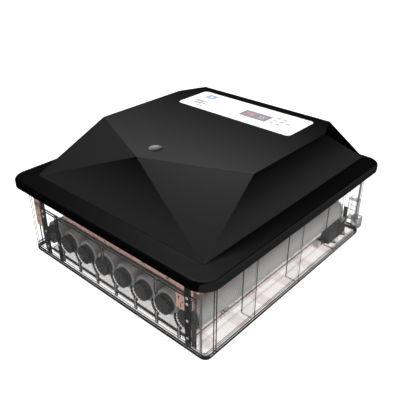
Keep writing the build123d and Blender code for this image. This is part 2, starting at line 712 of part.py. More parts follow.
def heater_ring():
    """A bare tubular element around the rotor."""
    return Pos(0, 0, 138) * Torus(HEATER_RADIUS, 2.2)


def heater_brackets():
    """Three ceramic posts that carry the heater from the ceiling plate."""
    posts = []
    for turn in range(3):
        arm = post(HEATER_RADIUS, 0, 4.0, 131, LINER_PLATE)
        arm = arm - Pos(0, 0, 138) * Torus(HEATER_RADIUS, 2.25)
        arm += block(HEATER_RADIUS - 4, HEATER_RADIUS + 5, -4, 4, LINER_PLATE - 2, LINER_PLATE)
        posts.append(Rot(0, 0, 30 + 120 * turn) * arm)
    return Compound([solid for arm in posts for solid in arm.solids()])


def climate_probe():
    """The temperature and humidity probe that hangs into the egg chamber."""
    body = block(78, 92, 96, 104, 108, LINER_PLATE)
    for z in (114, 119, 124):
        body -= block(81, 89, 95, 105, z, z + 2)
    return body


def vent_plug():
    """A pull-out plug with a dished head over the air hole."""
    head = post(0, VENT_Y, 12.5, DECK_TOP - 1.2, DECK_TOP + 0.6)
    stem = post(0, VENT_Y, VENT_RADIUS, DECK_TOP - 12, DECK_TOP - 1.2)
    dish = Pos(0, VENT_Y, DECK_TOP + 0.6 + 33) * Sphere(34.5)
    return head + stem - dish


# ---- write every sub-part -----------------------------------------------------------------
def write_base():
    save(base_tub(), "base_tub")
    save(foot_pads(), "foot_pads")
    save(water_filler(), "water_filler")
    save(water_tray(), "water_tray")
    save(roller_frame_front(), "roller_frame_front")
    save(roller_frame_rear(), "roller_frame_rear")
    save(frame_rail(-1), "frame_rail_left")
    save(frame_rail(1), "frame_rail_right")
    save(front_posts(), "front_posts")
    save(post_screws(), "post_screws")
    save(gearmotor_gearbox(), "gearmotor_gearbox")
    save(motor_screws(), "motor_screws")
    save(motor_can(), "motor_can")
    save(motor_end_cap(), "motor_end_cap")
    save(contact_block(), "contact_block")


def write_turner():
    save(turner_rack(), "turner_rack")
    save(drive_pinion(), "drive_pinion")
    for number, x in enumerate(ROLLER_X, start=1):
        save(roller_tube(x), f"roller_tube_{number}")
        save(roller_ends(x), f"roller_ends_{number}")


def write_lid():
    save(lid_shell(), "lid_shell")
    save(panel_overlay(), "panel_overlay")
    save(display_window(), "display_window")
    save(display_module(), "display_module")
    save(control_board(), "control_board")
    save(key_switches(), "key_switches")
    save(indicator_lights(), "indicator_lights")
    save(power_board(), "power_board")
    save(power_inlet(), "power_inlet")
    save(lid_seal(), "lid_seal")
    save(lid_liner(), "lid_liner")
    save(liner_screws(), "liner_screws")
    save(fan_guard(), "fan_guard")
    save(fan_motor(), "fan_motor")
    save(heater_ring(), "heater_ring")
    save(heater_brackets(), "heater_brackets")
    save(climate_probe(), "climate_probe")
    save(fan_rotor(), "fan_rotor")
    save(vent_plug(), "vent_plug")
    for number, (x, y) in enumerate(button_places(), start=1):
        save(key_button(x, y), f"key_button_{number}")


os.makedirs("parts", exist_ok=True)
write_base()
write_turner()
write_lid()
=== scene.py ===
import json
import math

import bmesh
import bpy
from mathutils import Matrix, Vector


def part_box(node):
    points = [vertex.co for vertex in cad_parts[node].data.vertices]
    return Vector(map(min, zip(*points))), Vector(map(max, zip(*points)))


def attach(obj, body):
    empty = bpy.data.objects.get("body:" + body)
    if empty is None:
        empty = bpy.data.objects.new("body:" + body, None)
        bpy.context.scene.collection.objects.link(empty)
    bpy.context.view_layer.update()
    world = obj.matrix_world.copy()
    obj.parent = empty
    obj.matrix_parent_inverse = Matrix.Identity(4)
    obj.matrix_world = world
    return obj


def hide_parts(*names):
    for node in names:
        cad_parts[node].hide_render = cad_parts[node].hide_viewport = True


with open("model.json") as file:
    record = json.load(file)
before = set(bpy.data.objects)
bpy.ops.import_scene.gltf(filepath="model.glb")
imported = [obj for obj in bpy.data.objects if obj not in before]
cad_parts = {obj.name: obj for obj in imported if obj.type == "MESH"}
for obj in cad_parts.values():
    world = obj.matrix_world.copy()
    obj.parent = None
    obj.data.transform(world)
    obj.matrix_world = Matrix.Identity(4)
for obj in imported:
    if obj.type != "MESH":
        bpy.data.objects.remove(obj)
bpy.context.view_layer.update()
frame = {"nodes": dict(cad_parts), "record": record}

# Roller egg incubator. Metres, in the CAD frame: +Z up, front towards -Y, rollers along Y.

NODES = frame["nodes"]
SLOT_OF = {part["node"]: part["material_slot"] for part in frame["record"]["subparts"]}


def box(node):
    """Lowest and highest corner of a CAD node, as two vectors."""
    low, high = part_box(node)
    return Vector(low), Vector(high)


# ---- camera -------------------------------------------------------------------------------
CAMERA_PLACE = Vector((0.6173, -0.6909, 0.6312))
CAMERA_AIM = Vector((-0.5786, 0.6446, -0.4998))
CAMERA_LENS = 47.69


def make_camera():
    data = bpy.data.cameras.new("camera")
    data.lens = CAMERA_LENS
    data.sensor_width = 36
    data.clip_start = 0.02
    data.clip_end = 50
    camera = bpy.data.objects.new("camera", data)
    camera.location = CAMERA_PLACE
    camera.rotation_mode = "QUATERNION"
    camera.rotation_quaternion = CAMERA_AIM.to_track_quat("-Z", "Y")
    bpy.context.scene.collection.objects.link(camera)
    bpy.context.scene.camera = camera


# ---- shader helpers -----------------------------------------------------------------------
class Shader:
    """A material under construction: one Principled shader and the nodes that feed it."""

    def __init__(self, name):
        self.material = bpy.data.materials.new(name)
        self.material.use_nodes = True
        self.tree = self.material.node_tree
        self.surface = self.tree.nodes["Principled BSDF"]

    def node(self, kind, **settings):
        made = self.tree.nodes.new(kind)
        for key, value in settings.items():
            setattr(made, key, value)
        return made

    def feed(self, socket, value):
        """Links an output into a socket, or sets the socket to a plain value."""
        if isinstance(value, bpy.types.NodeSocket):
            self.tree.links.new(value, socket)
        else:
            socket.default_value = value

    def set(self, **values):
        """Feeds the Principled shader; underscores stand for the spaces in socket names."""
        for key, value in values.items():
            self.feed(self.surface.inputs[key.replace("_", " ")], value)

    def math(self, operation, first, second=0.0):
        made = self.node("ShaderNodeMath", operation=operation, use_clamp=False)
        self.feed(made.inputs[0], first)
        self.feed(made.inputs[1], second)
        return made.outputs[0]

    def place(self):
        """The point's own coordinates on the object, in metres."""
        return self.node("ShaderNodeTexCoord").outputs["Object"]

    def axes(self):
        """The X, Y and Z of the point, as three outputs."""
        split = self.node("ShaderNodeSeparateXYZ")
        self.feed(split.inputs[0], self.place())
        return split.outputs

    def noise(self, scale, detail=3.0, roughness=0.55, stretch=(1, 1, 1)):
        scaled = self.node("ShaderNodeMapping")
        self.feed(scaled.inputs["Vector"], self.place())
        scaled.inputs["Scale"].default_value = stretch
        made = self.node("ShaderNodeTexNoise")
        self.feed(made.inputs["Vector"], scaled.outputs[0])
        made.inputs["Scale"].default_value = scale
        made.inputs["Detail"].default_value = detail
        made.inputs["Roughness"].default_value = roughness
        return made.outputs["Fac"]

    def spread(self, value, low, high, from_low=0.3, from_high=0.7):
        """Maps a value to a range; where it comes from is preset to what noise gives."""
        made = self.node("ShaderNodeMapRange")
        self.feed(made.inputs["Value"], value)
        made.inputs["From Min"].default_value = from_low
        made.inputs["From Max"].default_value = from_high
        made.inputs["To Min"].default_value = low
        made.inputs["To Max"].default_value = high
        return made.outputs["Result"]

    def mix(self, amount, first, second):
        made = self.node("ShaderNodeMix", data_type="RGBA")
        self.feed(made.inputs["Factor"], amount)
        self.feed(made.inputs[6], first)
        self.feed(made.inputs[7], second)
        return made.outputs[2]

    def bump(self, height, strength, distance):
        made = self.node("ShaderNodeBump")
        self.feed(made.inputs["Height"], height)
        made.inputs["Strength"].default_value = strength
        made.inputs["Distance"].default_value = distance
        self.set(Normal=made.outputs[0])

    def edge_wear(self, low=0.505, high=0.56):
        """One on convex edges, fading to zero on flats."""
        pointiness = self.node("ShaderNodeNewGeometry").outputs["Pointiness"]
        return self.spread(pointiness, 0, 1, low, high)

    def band(self, axis_value, middle, half_width):
        """One within half_width of the middle along an axis, zero beyond it."""
        away = self.math("ABSOLUTE", self.math("SUBTRACT", axis_value, middle))
        return self.math("LESS_THAN", away, half_width)


def shade(level, tint=(1, 1, 1)):
    return (level * tint[0], level * tint[1], level * tint[2], 1)


def moulded_plastic(name, colour, roughness, grain=900, grain_depth=0.00006, mottle=0.12, wear=0.0):
    """Injection-moulded plastic: fine spark grain, cloudy colour, rubbed edges."""
    made = Shader(name)
    cloud = made.spread(made.noise(9), 1 - mottle, 1 + mottle)
    dim = made.node("ShaderNodeMix", data_type="RGBA", blend_type="MULTIPLY")
    dim.inputs["Factor"].default_value = 1
    made.feed(dim.inputs[6], colour)
    grey = made.node("ShaderNodeCombineColor")
    for channel in grey.inputs:
        made.feed(channel, cloud)
    made.feed(dim.inputs[7], grey.outputs[0])
    base = dim.outputs[2]
    if wear:
        worn = tuple(min(1, c * 1.8 + 0.02) for c in colour[:3]) + (1,)
        base = made.mix(made.math("MULTIPLY", made.edge_wear(), wear), base, worn)
    made.set(Base_Color=base)
    made.set(Roughness=made.spread(made.noise(60), roughness * 0.9, roughness * 1.12))
    made.bump(made.noise(grain, 2), 0.35, grain_depth)
    return made


def metal(name, colour, roughness, brush=(1, 1, 30)):
    """Plated or drawn steel with fine streaks along one axis."""
    made = Shader(name)
    streaks = made.noise(260, 4, 0.6, brush)
    made.set(Metallic=0.35, Base_Color=made.mix(made.spread(streaks, 0, 0.35), colour, shade(0.45)))
    made.set(Roughness=made.spread(streaks, roughness * 0.8, roughness * 1.3))
    made.bump(streaks, 0.2, 0.00003)
    return made


# ---- clear plastic ------------------------------------------------------------------------
CLEAR_FACE = 0.012
CLEAR_RIM = 0.22
# Near-black colour of the painted shade on clear plastic's edges.
PAINTED_EDGE_SHADE = shade(0.006)


def clear_plastic(name, edges, face=CLEAR_FACE, tint=shade(0.8), rim=CLEAR_RIM):
    """Clear moulding: faces all but vanish and grow denser at a glance; cut edges and lines are painted
    near-black, painted shade for the dark look of clear plastic's edges.
    """
    made = Shader(name)
    glance = made.node("ShaderNodeLayerWeight")
    glance.inputs["Blend"].default_value = 0.25
    facing = made.math("POWER", glance.outputs["Facing"], 5.0)
    haze = made.spread(made.noise(14), face * 0.7, face * 1.3)
    body = made.math("ADD", haze, made.math("MULTIPLY", facing, rim))
    dark = edges(made)
    made.set(Alpha=made.math("MINIMUM", made.math("MAXIMUM", body, dark), 1.0))
    # Painted shade: where the edges' mask is high, the colour turns near-black.
    made.set(Base_Color=made.mix(dark, tint, PAINTED_EDGE_SHADE))
    made.set(Roughness=made.spread(made.noise(40), 0.05, 0.12))
    made.bump(made.noise(35, 1), 0.08, 0.0003)
    made.material.surface_render_method = "BLENDED"
    return made


def union(made, masks):
    """The strongest of several masks."""
    result = masks[0]
    for mask in masks[1:]:
        result = made.math("MAXIMUM", result, mask)
    return result


def both(made, first, second):
    """Where two masks meet."""
    return made.math("MULTIPLY", first, second)


def face_direction(made):
    """The X, Y and Z of the way the face looks, as three outputs."""
    normal = made.node("ShaderNodeSeparateXYZ")
    made.feed(normal.inputs[0], made.node("ShaderNodeNewGeometry").outputs["Normal"])
    return normal.outputs


def facing_axis(made, axis):
    """How squarely the face looks along an axis, from zero to one."""
    return made.math("ABSOLUTE", face_direction(made)[axis])


FRAME_TOP = 0.107
FRAME_BAR = 0.007
WHEEL_HEIGHT = 0.047
WHEEL_PITCH = 0.052
FIRST_WHEEL_X = -0.186
HOOK_INSIDE = 0.0176
HOOK_TOP = WHEEL_HEIGHT + 0.007
HOOK_FOOT = 0.0068
LEG_OFFSET = 0.011
LEG_CORE = 0.0018
LEG_TOP = 0.030
BAR_LINE = 0.0009


def plate_edges(made):
    """Painted shade on the roller frames: dark cut faces, dark outlines of the top bar and darkened hooks
    round each wheel, lighter along each leg's core.
    """
    x, _, z = made.axes()
    turns = made.math("DIVIDE", made.math("SUBTRACT", x, FIRST_WHEEL_X - WHEEL_PITCH / 2), WHEEL_PITCH)
    across = made.math("MULTIPLY", made.math("SUBTRACT", made.math("FRACT", turns), 0.5), WHEEL_PITCH)
    above = made.math("SUBTRACT", z, WHEEL_HEIGHT)
    reach = made.math("SQRT", made.math("ADD", both(made, across, across), both(made, above, above)))
    outside = made.math("GREATER_THAN", reach, HOOK_INSIDE)
    cut = both(made, made.math("LESS_THAN", facing_axis(made, "Y"), 0.7), outside)
    bar_lines = union(made, [made.band(z, FRAME_TOP - BAR_LINE, BAR_LINE),
                             made.band(z, FRAME_TOP - FRAME_BAR, BAR_LINE)])
    low = made.math("LESS_THAN", z, HOOK_TOP)
    # Painted shade on the hooks round each wheel.
    shaded_hooks = both(made, both(made, low, made.math("GREATER_THAN", z, HOOK_FOOT)), outside)
    from_leg = made.math("ABSOLUTE", made.math("ADD", across, LEG_OFFSET))
    core = both(made, made.math("LESS_THAN", from_leg, LEG_CORE), made.math("LESS_THAN", z, LEG_TOP))
    shaded_hooks = both(made, shaded_hooks, made.math("SUBTRACT", 0.95, made.math("MULTIPLY", core, 0.65)))
    return union(made, [made.math("MULTIPLY", cut, 0.97), made.math("MULTIPLY", bar_lines, 0.95), shaded_hooks])


def rail_edges(made):
    """A tie rail: painted shade, a little dark on its level faces only."""
    return made.math("MULTIPLY", made.math("GREATER_THAN", facing_axis(made, "Z"), 0.7), 0.15)


RIB_STATIONS = (-0.125, 0.010, 0.150)
RIB_LINE = 0.0012
RIGHT_RIB_EDGE = 0.2055
LEFT_RIB_EDGE = -0.2110
TUB_WALL = 0.003
TUB_LIP = 0.008
TUB_CORNER = 0.012
FOOT_BAND = 0.0068
FOOT_LINE = 0.0130
CORNER_LINE_HALF = 0.0014
CORNER_LINE_STATIONS = (0.2255, 0.2315)
SKIN_SLACK = 0.0002
FLOOR_TOP = 0.0047
RIB_FOOT = 0.0045


def tub_skin(made, x, y):
    """One on the tub's wall all the way round, corners included; also its sides and ends alone."""
    high = box("base_tub")[1]
    half_x, half_y = high.x - TUB_LIP, high.y - TUB_LIP
    away_x, away_y = made.math("ABSOLUTE", x), made.math("ABSOLUTE", y)
    side = made.math("GREATER_THAN", away_x, half_x - TUB_WALL - SKIN_SLACK)
    end = made.math("GREATER_THAN", away_y, half_y - TUB_WALL - SKIN_SLACK)
    past_x = made.math("MAXIMUM", made.math("SUBTRACT", away_x, half_x - TUB_CORNER), 0.0)
    past_y = made.math("MAXIMUM", made.math("SUBTRACT", away_y, half_y - TUB_CORNER), 0.0)
    reach = made.math("SQRT", made.math("ADD", both(made, past_x, past_x), both(made, past_y, past_y)))
    corner = made.math("GREATER_THAN", reach, TUB_CORNER - TUB_WALL - SKIN_SLACK)
    return union(made, [side, end, corner]), side, end


def tub_edges(made):
    """Painted shade on the clear tub: a dark band at its foot with dark lines above it, dark lines near its
    corners, at its rib roots and along the ribs' free edges, and a little on its lip.
    """
    x, y, z = made.axes()
    low, high = box("base_tub")
    away_x, away_y = made.math("ABSOLUTE", x), made.math("ABSOLUTE", y)
    skin, side, end = tub_skin(made, x, y)
    foot = both(made, skin, made.math("LESS_THAN", z, low.z + FOOT_BAND))
    thin = made.band(z, FOOT_LINE, 0.0011)
    thick = both(made, made.band(z, FOOT_LINE - 0.0006, 0.0017), made.math("GREATER_THAN", y, 0.135))
    above = both(made, skin, made.math("MAXIMUM", made.math("MULTIPLY", thin, 0.9), thick))
    foot = made.math("MAXIMUM", foot, above)
    outer = made.math("GREATER_THAN", away_x, high.x - TUB_LIP - 0.0004)
    corner_lines = both(made, outer, union(made, [made.band(away_y, station, CORNER_LINE_HALF) for station in CORNER_LINE_STATIONS]))
    ends = both(made, end, made.band(away_x, high.x - TUB_LIP - TUB_CORNER, CORNER_LINE_HALF))
    on_rib = union(made, [made.band(y, station, RIB_LINE) for station in RIB_STATIONS])
    free = union(made, [made.band(x, RIGHT_RIB_EDGE, 0.0010), made.band(x, LEFT_RIB_EDGE, 0.0010)])
    above_floor = made.math("GREATER_THAN", z, 0.006)
    outward = made.math("GREATER_THAN", away_x, RIGHT_RIB_EDGE - 0.0001)
    rib_foot = both(made, made.band(z, RIB_FOOT, 0.0012), both(made, on_rib, outward))
    rib_edge = both(made, both(made, free, on_rib), above_floor)
    lines = union(made, [rib_edge, both(made, side, on_rib), rib_foot])
    lip = made.math("GREATER_THAN", away_x, high.x - TUB_LIP + 0.001)
    # All these masks are painted shade, the dark lines that clear plastic shows at its edges.
    return union(made, [made.math("MULTIPLY", foot, 0.99), made.math("MULTIPLY", corner_lines, 0.97),
                        made.math("MULTIPLY", ends, 0.85), made.math("MULTIPLY", lines, 0.95),
                        made.math("MULTIPLY", lip, 0.2)])


def clear_tub():
    """The tub, with a faint pink reflection of the copper parts painted over the right of its floor, in bands
    along Y.
    """
    made = clear_plastic("tub_clear", tub_edges)
    x, y, z = made.axes()
    level = made.math("GREATER_THAN", facing_axis(made, "Z"), 0.9)
    on_floor = both(made, made.math("LESS_THAN", z, FLOOR_TOP), level)
    right = made.spread(x, 0.0, 1.0, 0.10, 0.19)
    # Painted reflection: a pink tint of the copper parts, banded along Y.
    copper_reflection = both(made, on_floor, right)
    clear = made.surface.inputs["Alpha"].links[0].from_socket
    # This colour already holds the painted edge shade of the clear plastic.
    ink = made.surface.inputs["Base Color"].links[0].from_socket
    wave = made.math("SINE", made.math("MULTIPLY", y, 44.0))
    ring = made.math("LESS_THAN", made.math("ABSOLUTE", wave), 0.5)
    deep = made.math("ADD", 0.16, made.math("MULTIPLY", ring, 0.12))
    made.set(Alpha=made.math("MAXIMUM", clear, both(made, copper_reflection, deep)))
    made.set(Base_Color=made.mix(copper_reflection, ink, (0.80, 0.60, 0.55, 1)))
    return made.material


# ---- every finish in the record -----------------------------------------------------------
def circuit_board():
    """Green solder mask with pale tracks."""
    made = Shader("circuit_board")
    comb = made.math("FRACT", made.math("MULTIPLY", made.axes()["X"], 310.0))
    laid = made.math("GREATER_THAN", made.noise(70), 0.5)
    track = both(made, made.math("LESS_THAN", comb, 0.3), laid)
    made.set(Base_Color=made.mix(track, (0.01, 0.09, 0.035, 1), (0.05, 0.3, 0.12, 1)), Roughness=0.35)
    made.bump(track, 0.3, 0.00005)
    return made


def white_film():
    """Printed overlay: satin white with the faintest weave of its base film."""
    made = Shader("white_film")
    made.set(Base_Color=made.mix(made.spread(made.noise(25), 0, 1), shade(0.86), shade(0.92)))
    made.set(Roughness=made.spread(made.noise(300), 0.3, 0.4), Coat_Weight=0.2, Coat_Roughness=0.2)
    made.bump(made.noise(1800, 1), 0.15, 0.00002)
    return made


def display_lens():
    """Smoked lens: grey-mauve glass with a lighter reflector behind it."""
    made = Shader("display_lens")
    cloud = made.spread(made.noise(80), 0, 1)
    made.set(Base_Color=made.mix(cloud, (0.27, 0.25, 0.285, 1), (0.31, 0.285, 0.325, 1)))
    made.set(Roughness=made.spread(made.noise(30), 0.08, 0.16), Coat_Weight=0.6, Coat_Roughness=0.05)
    made.bump(made.noise(20, 1), 0.05, 0.0001)
    return made


def heater_steel():
    """Heat-tinted tube: straw and blue bands round the ring."""
    made = Shader("heater_steel")
    heat = made.spread(made.noise(22), 0, 1)
    made.set(Metallic=1.0, Base_Color=made.mix(heat, (0.42, 0.33, 0.2, 1), (0.16, 0.18, 0.3, 1)))
    made.set(Roughness=made.spread(made.noise(150), 0.28, 0.45))
    made.bump(made.noise(900), 0.2, 0.00003)
    return made


RIM_TOP = 0.1685
LID_BLACK = 0.0065
DECK_HEIGHT = 0.2505


def lid_plastic():
    """The lid's black plastic with painted light and shade: facets painted lighter or darker by how light
    falls, lighter towards the rim and the front, darker towards the back; the rim's upright sides painted
    lighter as a reflection; and a duller flange.
    """
    made = moulded_plastic("lid_plastic", shade(LID_BLACK), 0.36, 1100, 0.00004, 0.1, 0.05)
    _, y, z = made.axes()
    face_x, face_y, face_z = face_direction(made)
    rim = made.math("LESS_THAN", z, RIM_TOP + 0.0004)
    level_face = made.math("GREATER_THAN", face_z, 0.98)
    deck = both(made, level_face, made.math("GREATER_THAN", z, DECK_HEIGHT - 0.0015))
    steep = made.math("MAXIMUM", made.math("LESS_THAN", face_y, -0.6), made.math("GREATER_THAN", face_x, 0.9))
    forward = made.math("LESS_THAN", face_y, -0.3)
    left_corner = both(made, forward, made.math("LESS_THAN", face_x, -0.1))
    right_corner = both(made, forward, made.math("GREATER_THAN", face_x, 0.1))
    tail = made.math("GREATER_THAN", face_y, 0.2)
    right_side = made.math("GREATER_THAN", face_x, 0.9)
    # Painted light and shade: each facet's colour raised or lowered by how light falls on it.
    painted_facet_light = ((right_side, made.spread(z, 0.0070, 0.0, RIM_TOP, 0.22)),
             (deck, made.spread(y, 0.0115, -0.0050, -0.15, 0.19)),
             (steep, made.spread(z, 0.0105, -0.0045, RIM_TOP, DECK_HEIGHT)),
             (left_corner, 0.0085), (right_corner, -0.0055), (tail, -0.0062))
    level = LID_BLACK
    for mask, change in painted_facet_light:
        level = made.math("ADD", level, made.math("MULTIPLY", mask, change))
    painted_hood_colour = made.node("ShaderNodeCombineColor")
    for channel in painted_hood_colour.inputs:
        made.feed(channel, made.math("MAXIMUM", level, 0.0))
    # Painted reflection: the rim's upright sides lighter; the rim's flat top painted darker.
    painted_rim_sides = made.math("MULTIPLY", made.math("GREATER_THAN", made.math("ABSOLUTE", face_x), 0.5), rim)
    flat = made.mix(rim, painted_hood_colour.outputs[0], shade(0.0015))
    made.set(Base_Color=made.mix(painted_rim_sides, flat, shade(0.012)))
    made.set(Roughness=made.spread(made.noise(60), 0.35, 0.375))
    dull = made.math("MULTIPLY", rim, 0.40)
    for mask, change in ((tail, 0.42), (right_corner, 0.10), (deck, made.spread(y, 0.0, 0.36, -0.10, 0.19)),
                         (steep, made.spread(z, 0.0, 0.30, RIM_TOP, DECK_HEIGHT))):
        dull = made.math("ADD", dull, made.math("MULTIPLY", mask, change))
    made.set(Specular_IOR_Level=made.math("MAXIMUM", made.math("SUBTRACT", 0.5, dull), 0.0))
    return made


def vent_painted_sheen():
    """The vent plug: a satin grey dish with a painted highlight at its left fading to painted shade at its
    right.
    """
    made = moulded_plastic("vent_painted_sheen", shade(0.2), 0.3, 700, 0.00003)
    x, y, _ = made.axes()
    painted_fade = made.spread(made.math("ADD", x, made.math("MULTIPLY", y, -0.25)), 0, 1, 0.0185, 0.0375)
    # Painted highlight at the left fading to painted shade at the right.
    made.set(Base_Color=made.mix(painted_fade, shade(0.17), shade(0.012)), Specular_IOR_Level=0.25)
    return made


RISER_SHELVES = ((0.082, 0.0008), (0.060, 0.0006))


def riser_edges(made):
    """The contact block's outlines, painted dark: painted shade for the dark edges of clear plastic."""
    x, _, z = made.axes()
    low, high = box("contact_block")
    lines = [made.band(x, low.x + 0.0005, 0.0004), made.band(x, high.x - 0.0005, 0.0004),
             made.band(z, low.z, 0.0012)]
    lines += [made.band(z, height, half_width) for height, half_width in RISER_SHELVES]
    return made.math("MULTIPLY", union(made, lines), 0.7)


def filler_edges(made):
    """The filler's rim, foot and upright edges, painted dark: painted shade for the dark edges of clear
    plastic.
    """
    x, _, z = made.axes()
    low, high = box("water_filler")
    lines = union(made, [made.band(z, high.z, 0.0012), made.band(z, low.z, 0.0010),
                         made.band(x, low.x, 0.0009), made.band(x, high.x, 0.0009)])
    return made.math("MULTIPLY", lines, 0.7)


COPPER_FRONT = -0.2350
HEM_FOOT = 0.1
HEM_TOP = 0.1085
HEM_RIGHT = 0.160
SPECKS_LEFT = -0.205
SPECKS_TOP = 0.124


def copper_plastic():
    """Peach-copper moulding with a shaded hem in front, and dark specks at its left and along its front."""
    made = moulded_plastic("copper_plastic", (0.50, 0.31, 0.25, 1), 0.30, 500, 0.00005, 0.08)
    x, y, z = made.axes()
    plain = made.surface.inputs["Base Color"].links[0].from_socket
    front = made.math("LESS_THAN", y, COPPER_FRONT)
    height = both(made, made.math("LESS_THAN", z, HEM_TOP), made.math("GREATER_THAN", z, HEM_FOOT))
    hem = both(made, both(made, front, height), made.math("LESS_THAN", x, HEM_RIGHT))
    hemmed = made.mix(hem, plain, (0.20, 0.12, 0.10, 1))
    speck = made.math("GREATER_THAN", made.noise(190, 2), 0.60)
    low_front = both(made, front, made.math("LESS_THAN", z, SPECKS_TOP))
    marked = made.math("MAXIMUM", made.math("LESS_THAN", x, SPECKS_LEFT), low_front)
    made.set(Base_Color=made.mix(both(made, speck, marked), hemmed, (0.10, 0.05, 0.04, 1)))
    return made


def two_tone_wheels():
    """Roller wheels: dark drums in front, pale translucent-looking wheels behind."""
    made = moulded_plastic("wheel_plastic", shade(0.035), 0.45, 800, 0.00008, 0.15, 0.25)
    behind = made.math("GREATER_THAN", made.axes()["Y"], 0)
    dark = made.surface.inputs["Base Color"].links[0].from_socket
    made.set(Base_Color=made.mix(behind, dark, shade(0.42)))
    return made


def soft_clear():
    """Clear silicone feet."""
    made = Shader("clear_rubber")
    made.set(Base_Color=shade(0.7), Roughness=made.spread(made.noise(200), 0.4, 0.55), Alpha=0.12)
    made.bump(made.noise(500, 1), 0.1, 0.00003)
    return made


TAB_LEFT = 0.1780
TAB_RIGHT = 0.1885
TAB_FRONT = -0.150
TAB_BACK = -0.138
TAB_LINE = 0.0012
TRAY_RIM = 0.0136


def pale_tray():
    """Thin pink-white trays with faint moulded rings; their rims and one tab's outline are painted dark,
    painted shade for the dark edges of thin clear plastic.
    """
    made = Shader("tray_plastic")
    x, y, z = made.axes()
    comb = made.math("FRACT", made.math("MULTIPLY", y, 22.0))
    ring = made.math("LESS_THAN", made.math("ABSOLUTE", made.math("SUBTRACT", comb, 0.5)), 0.06)
    rim = made.math("GREATER_THAN", z, TRAY_RIM)
    pink = made.mix(ring, (0.90, 0.79, 0.76, 1), (0.80, 0.64, 0.60, 1))
    tab = both(made, made.band(x, (TAB_LEFT + TAB_RIGHT) / 2, (TAB_RIGHT - TAB_LEFT) / 2 + 0.0001),
               made.band(y, (TAB_FRONT + TAB_BACK) / 2, (TAB_BACK - TAB_FRONT) / 2 + 0.0001))
    outline = union(made, [made.band(x, TAB_LEFT, TAB_LINE), made.band(y, TAB_BACK, TAB_LINE),
                           made.band(y, TAB_FRONT, TAB_LINE)])
    # Painted shade: the rim and the tab's outline turn near-black and more opaque.
    rim = made.math("MAXIMUM", both(made, tab, outline), both(made, rim, made.math("SUBTRACT", 1.0, tab)))
    made.set(Base_Color=made.mix(rim, pink, shade(0.03)))
    body = made.math("ADD", 0.30, made.math("MULTIPLY", ring, 0.12))
    made.set(Alpha=made.math("MAXIMUM", body, made.math("MULTIPLY", rim, 0.75)))
    made.set(Roughness=made.spread(made.noise(60), 0.2, 0.35))
    made.bump(made.noise(120, 2), 0.15, 0.0001)
    made.material.surface_render_method = "BLENDED"
    return made


def smoked():
    """Translucent grey moulding."""
    made = moulded_plastic("smoked_plastic", shade(0.30), 0.25, 400, 0.00004, 0.2)
    made.set(Alpha=0.45)
    made.material.surface_render_method = "BLENDED"
    return made


def rubber():
    made = moulded_plastic("rubber", shade(0.03), 0.75, 500, 0.0001)
    made.set(Specular_IOR_Level=0.3)
    return made


GROOVE_PITCH = 0.0045
GROOVED_HALF = 0.2255


def grooved_grey():
    """Satin grey tubes; the grooves hold a little shade, and the end faces a little more."""
    made = moulded_plastic("grey_plastic", shade(0.33), 0.5, 700, 0.00005, 0.08)
    y = made.axes()["Y"]
    plain = made.surface.inputs["Base Color"].links[0].from_socket
    turns = made.math("FRACT", made.math("DIVIDE", y, GROOVE_PITCH))
    wave = made.math("ABSOLUTE", made.math("SUBTRACT", turns, 0.5))
    body = made.math("LESS_THAN", made.math("ABSOLUTE", y), GROOVED_HALF)
    shadow = both(made, both(made, made.math("GREATER_THAN", wave, 0.36), body), 0.28)
    end_face = made.math("GREATER_THAN", made.math("ABSOLUTE", y), GROOVED_HALF)
    made.set(Base_Color=made.mix(end_face, made.mix(shadow, plain, shade(0.12)), shade(0.26)))
    return made


def make_finishes():
    return {
        "clear_plastic": clear_plastic("clear_plastic", plate_edges),
        "tray_plastic": pale_tray(),
        "smoked_plastic": smoked(),
        "clear_rubber": soft_clear(),
        "rubber": rubber(),
        "dark_plastic": moulded_plastic("dark_plastic", shade(0.035), 0.45, 800, 0.00008, 0.15, 0.25),
        "steel": metal("steel", shade(0.92), 0.28),
        "pale_plastic": moulded_plastic("pale_plastic", (0.55, 0.54, 0.50, 1), 0.45, 600, 0.00005, 0.08),
        "black_plastic": moulded_plastic("black_plastic", shade(0.008), 0.42, 1100, 0.00004, 0.1, 0.05),
        "white_film": white_film(),
        "display_lens": display_lens(),
        "circuit_board": circuit_board(),
        "copper_plastic": copper_plastic(),
        "heater_steel": heater_steel(),
        "grey_plastic": grooved_grey(),
        "key_plastic": moulded_plastic("key_plastic", (0.50, 0.54, 0.62, 1), 0.4, 900, 0.00004, 0.06),
    }


def finish_nodes(finishes):
    """Gives every CAD node its finish."""
    for node, thing in NODES.items():
        made = finishes[SLOT_OF[node]]
        if thing.data.materials:
            for index in range(len(thing.data.materials)):
                thing.data.materials[index] = made.material
        else:
            thing.data.materials.append(made.material)
    riser = clear_plastic("riser_clear", riser_edges, 0.16, shade(0.40), 0.1)
    filler = clear_plastic("filler_clear", filler_edges, 0.32, shade(0.48), 0.3)
    own = {"lid_shell": lid_plastic().material, "base_tub": clear_tub(), "vent_plug": vent_painted_sheen().material,
           "front_posts": moulded_plastic("post_plastic", shade(0.006), 0.55, 700, 0.00006).material,
           "contact_block": riser.material, "water_filler": filler.material}
    for node, material in own.items():
        NODES[node].data.materials[0] = material
    rail = clear_plastic("rail_clear", rail_edges).material
    wheels = two_tone_wheels().material
    for side in ("left", "right"):
        NODES[f"frame_rail_{side}"].data.materials[0] = rail
    for number in range(1, 9):
        NODES[f"roller_ends_{number}"].data.materials[0] = wheels


